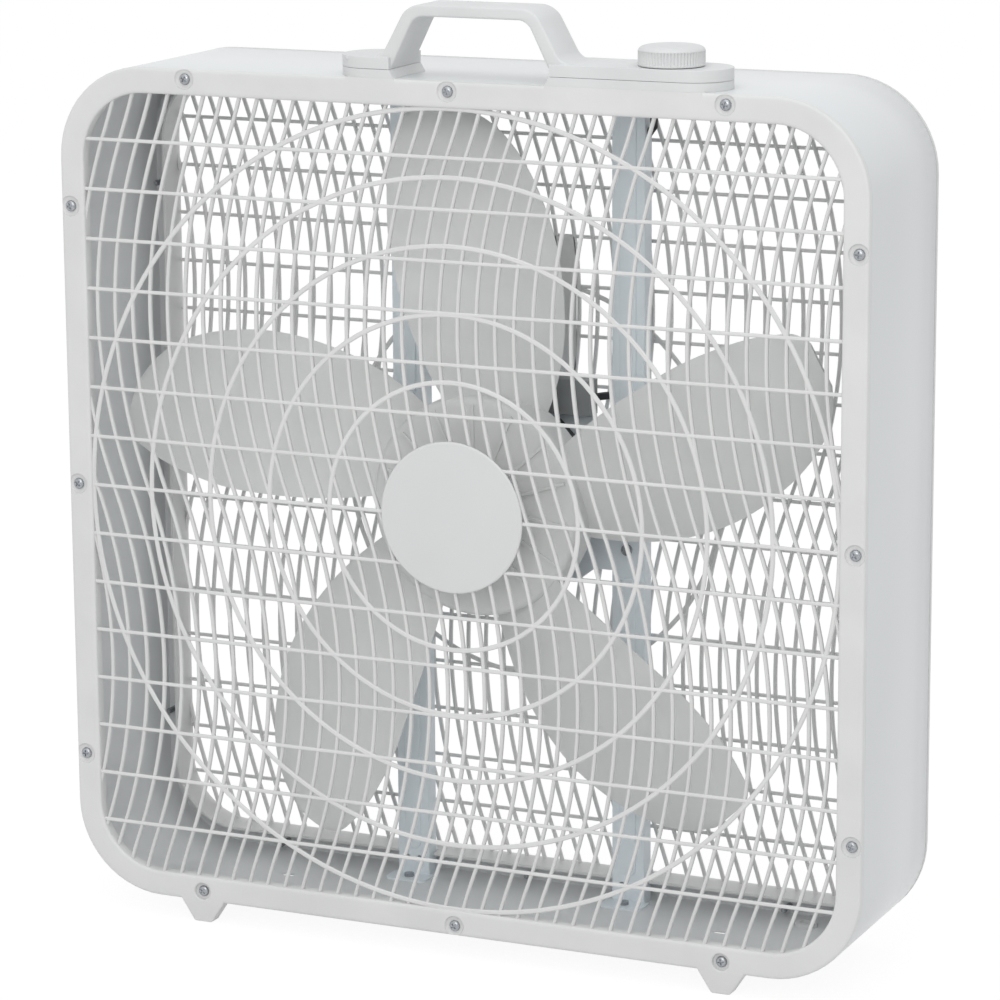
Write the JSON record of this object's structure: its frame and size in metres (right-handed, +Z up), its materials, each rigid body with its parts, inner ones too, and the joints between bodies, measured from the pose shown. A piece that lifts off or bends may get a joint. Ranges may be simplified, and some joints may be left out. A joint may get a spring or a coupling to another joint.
{
  "type": "box fan",
  "caption": "Square box fan with a steel cabinet, S-rib plastic grilles front and back, a bladed impeller on a strut-mounted motor, a carry handle and a rotary speed knob on top.",
  "frame": {"origin": "centre of the bounding box at the ground, midway between the feet", "axes": "+Z up, +X to the right seen from the front, the front grille faces -Y"},
  "size_m": [0.53, 0.1276, 0.5898],
  "materials": {
    "cabinet_paint": "satin",
    "grille_plastic": "satin",
    "medallion_plastic": "satin",
    "housing_plastic": "satin",
    "knob_plastic": "satin",
    "impeller_plastic": "satin",
    "strut_paint": "satin",
    "shell_steel": "satin",
    "lamination_steel": "matt",
    "coil_copper": "satin",
    "shaft_steel": "polished",
    "bearing_bronze": "satin",
    "screw_steel": "zinc plated",
    "black_plastic": "matt",
    "lead_rubber": "matt"
  },
  "bodies": {
    "cabinet": {"cabinet_band": "cabinet_paint", "front_grille": "grille_plastic", "rear_grille": "grille_plastic", "front_feet": "grille_plastic", "rear_feet": "grille_plastic", "rear_collar": "grille_plastic", "rear_collar_corners": "grille_plastic", "front_medallion": "medallion_plastic", "control_base": "housing_plastic", "handle_cover": "housing_plastic", "switch_body": "black_plastic", "switch_nut": "screw_steel", "switch_leads": "lead_rubber", "strut_left": "strut_paint", "strut_right": "strut_paint", "motor_bracket": "strut_paint", "motor_front_shell": "shell_steel", "motor_rear_shell": "shell_steel", "stator_core": "lamination_steel", "stator_windings": "coil_copper", "front_bearing": "bearing_bronze", "rear_bearing": "bearing_bronze", "motor_bolts": "screw_steel", "lead_joint_cover": "black_plastic", "cord_gland": "housing_plastic", "front_grille_screws": "screw_steel", "rear_grille_screws": "screw_steel", "strut_screws": "screw_steel", "bracket_screws": "screw_steel", "handle_screws": "screw_steel"},
    "impeller": {"impeller": "impeller_plastic", "impeller_nut": "screw_steel", "motor_shaft": "shaft_steel", "rotor_core": "lamination_steel", "thrust_washers": "bearing_bronze"},
    "knob": {"speed_knob": "knob_plastic", "switch_spindle": "shaft_steel"}
  },
  "joints": [
    {"name": "impeller_spin", "type": "hinge", "parent": "cabinet", "child": "impeller", "pos_m": [0, 0, 0.2788], "axis": [0, 1, 0], "continuous": true},
    {"name": "knob_turn", "type": "hinge", "parent": "cabinet", "child": "knob", "pos_m": [0.135, -0.042, 0.5], "axis": [0, 0, 1], "range_deg": [-135, 0]}
  ]
}
